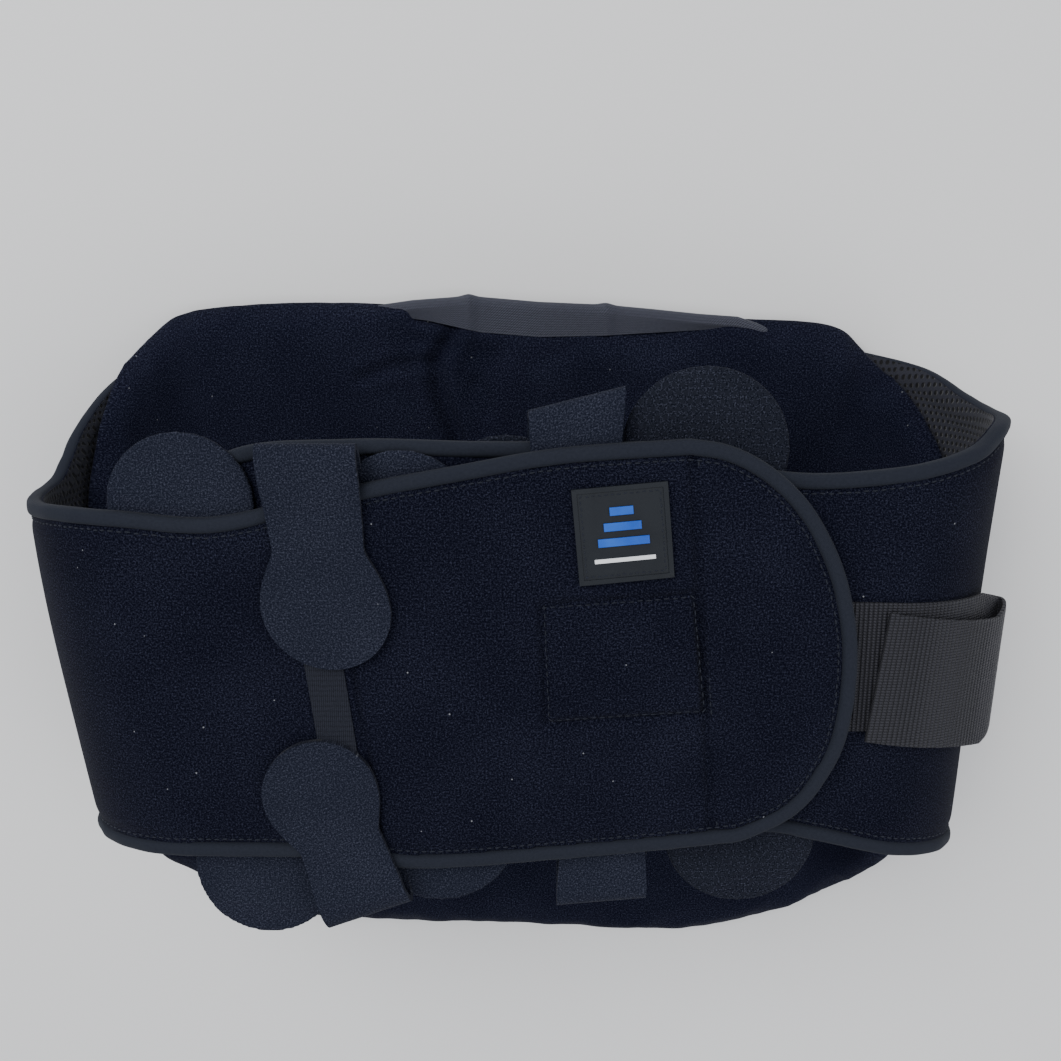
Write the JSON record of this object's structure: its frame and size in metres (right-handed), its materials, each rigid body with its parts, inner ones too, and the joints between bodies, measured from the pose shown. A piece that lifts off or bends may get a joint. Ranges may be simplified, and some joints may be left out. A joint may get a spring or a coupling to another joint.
{
  "type": "lumbar support belt",
  "caption": "Lumbar support belt, closed in front, with a padded back, bound fabric wings, round felt tabs, a D-shaped hook end and a webbing pull strap.",
  "frame": {"origin": "centre of the back's resting face, where the closed belt lies on its back", "axes": "+X along the waist towards the pull strap, +Y towards the belt's upper edge, +Z out of the back towards the closed front"},
  "size_m": [0.3996, 0.307, 0.118],
  "materials": {
    "brushed_loop": "brushed loop knit, black",
    "felt": "soft felt, charcoal",
    "edge_binding": "knitted edge binding, charcoal",
    "woven_nylon": "twill nylon, dark grey",
    "webbing": "ribbed nylon webbing, dark grey",
    "ribbed_tape": "ribbed tape, dark grey",
    "foam": "open foam, dark",
    "hook_fastener": "moulded hook fastener, black",
    "label_rubber": "matt moulded rubber, charcoal",
    "emblem_blue": "raised blue bars",
    "panel_plastic": "grained polyethylene, black",
    "stay_steel": "flat spring steel"
  },
  "bodies": {
    "root": {"back_cover": "woven_nylon", "posterior_stays": "stay_steel", "pocket_lining": "woven_nylon", "lumbar_pad": "foam", "back_liner": "brushed_loop", "left_wing_side": "brushed_loop", "left_rear_binding": "edge_binding", "right_wing_front": "brushed_loop", "right_front_binding": "edge_binding", "right_wing_side": "brushed_loop", "right_rear_binding": "edge_binding", "right_flap": "brushed_loop", "right_flap_binding": "edge_binding", "right_seam_tape": "ribbed_tape", "right_connector": "felt", "right_top_tab": "felt", "right_bottom_tab": "felt", "pull_strap": "webbing"},
    "back_panel": {"rigid_panel": "panel_plastic"},
    "left_wing": {"left_wing_front": "brushed_loop", "left_front_binding": "edge_binding", "left_flap": "brushed_loop", "left_flap_binding": "edge_binding", "left_seam_tape": "ribbed_tape", "left_connector": "felt", "flap_hook_patch": "hook_fastener", "label_patch": "label_rubber", "label_emblem": "emblem_blue"},
    "flap_end": {"flap_end": "brushed_loop", "flap_end_binding": "edge_binding", "flap_end_hook": "hook_fastener"},
    "top_tab": {"top_tab": "felt", "top_tab_hook": "hook_fastener"},
    "bottom_tab": {"bottom_tab": "felt", "bottom_tab_hook": "hook_fastener"},
    "strap_end": {"pull_strap_end": "webbing"}
  },
  "joints": [
    {"name": "back_panel_slide", "type": "slide", "parent": "root", "child": "back_panel", "axis": [0, 1, 0], "range_m": [0, 0.24]},
    {"name": "left_wing_open", "type": "hinge", "parent": "root", "child": "left_wing", "pos_m": [-0.1895, 0, 0.05735], "axis": [0.1348, -0.9909, 0], "range_deg": [0, 120]},
    {"name": "flap_end_peel", "type": "hinge", "parent": "left_wing", "child": "flap_end", "pos_m": [0.06415, 0.103, 0.115], "axis": [0.0836, -0.9965, 0], "range_deg": [0, 120]},
    {"name": "top_tab_peel", "type": "hinge", "parent": "left_wing", "child": "top_tab", "pos_m": [-0.07, 0.1015, 0.1158], "axis": [-1, 0, 0], "range_deg": [0, 150]},
    {"name": "bottom_tab_peel", "type": "hinge", "parent": "left_wing", "child": "bottom_tab", "pos_m": [-0.055, -0.08, 0.1158], "axis": [0.9426, 0.3338, 0], "range_deg": [0, 150]},
    {"name": "strap_end_peel", "type": "hinge", "parent": "root", "child": "strap_end", "pos_m": [0.19562, 0.0104, 0.075], "axis": [0.042, 0.9991, 0], "range_deg": [0, 120]}
  ]
}
